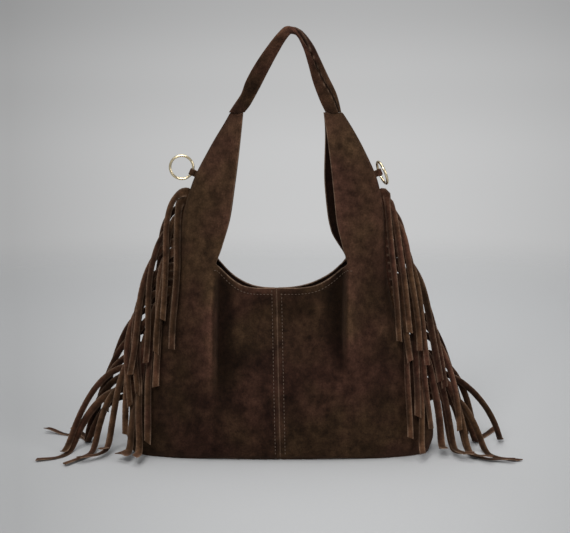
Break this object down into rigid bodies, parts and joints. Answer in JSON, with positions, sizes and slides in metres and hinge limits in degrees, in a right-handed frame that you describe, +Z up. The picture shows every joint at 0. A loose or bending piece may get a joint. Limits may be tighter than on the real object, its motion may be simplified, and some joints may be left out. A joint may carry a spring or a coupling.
{
  "type": "fringed suede shoulder bag",
  "caption": "Slouchy hobo-style shoulder bag in dark suede, with horns running up to a folded strap, long cut fringes down both side seams, and an O-ring in a tab at the top of each seam.",
  "frame": {"origin": "on the floor, in the middle of the flat base panel's underside", "axes": "+X to the right as the bag is seen from the front, -Y towards the front, +Z up towards the strap"},
  "size_m": [0.5859, 0.1607, 0.529],
  "materials": {
    "body_suede": "dark brown suede, matt napped face with lighter and darker brushed patches",
    "strap_suede": "dark brown suede, rubbed lighter along the folds",
    "fringe_suede": "dark brown suede strips with paler cut edges",
    "lining_cloth": "black woven lining cloth",
    "pale_gold": "polished pale gold plating",
    "snap_metal": "plated pressed metal"
  },
  "bodies": {
    "bag": {"front_panel_left": "body_suede", "front_panel_right": "body_suede", "back_panel_left": "body_suede", "back_panel_right": "body_suede", "base_panel": "body_suede", "lining": "lining_cloth", "shoulder_strap": "strap_suede", "fringe_left": "fringe_suede", "fringe_right": "fringe_suede", "ring_tab_left": "strap_suede", "ring_tab_right": "strap_suede", "snap_socket": "snap_metal", "snap_stud": "snap_metal"},
    "ring_left": {"ring_left": "pale_gold"},
    "ring_right": {"ring_right": "pale_gold"}
  },
  "joints": [
    {"name": "left_ring_swing", "type": "hinge", "parent": "bag", "child": "ring_left", "pos_m": [-0.10825, 0, 0.35214], "axis": [-0.4227, 0, -0.9063], "range_deg": [-90, 90]},
    {"name": "right_ring_swing", "type": "hinge", "parent": "bag", "child": "ring_right", "pos_m": [0.12111, 0, 0.35184], "axis": [0.3631, 0, -0.9318], "range_deg": [-168, 12]}
  ]
}
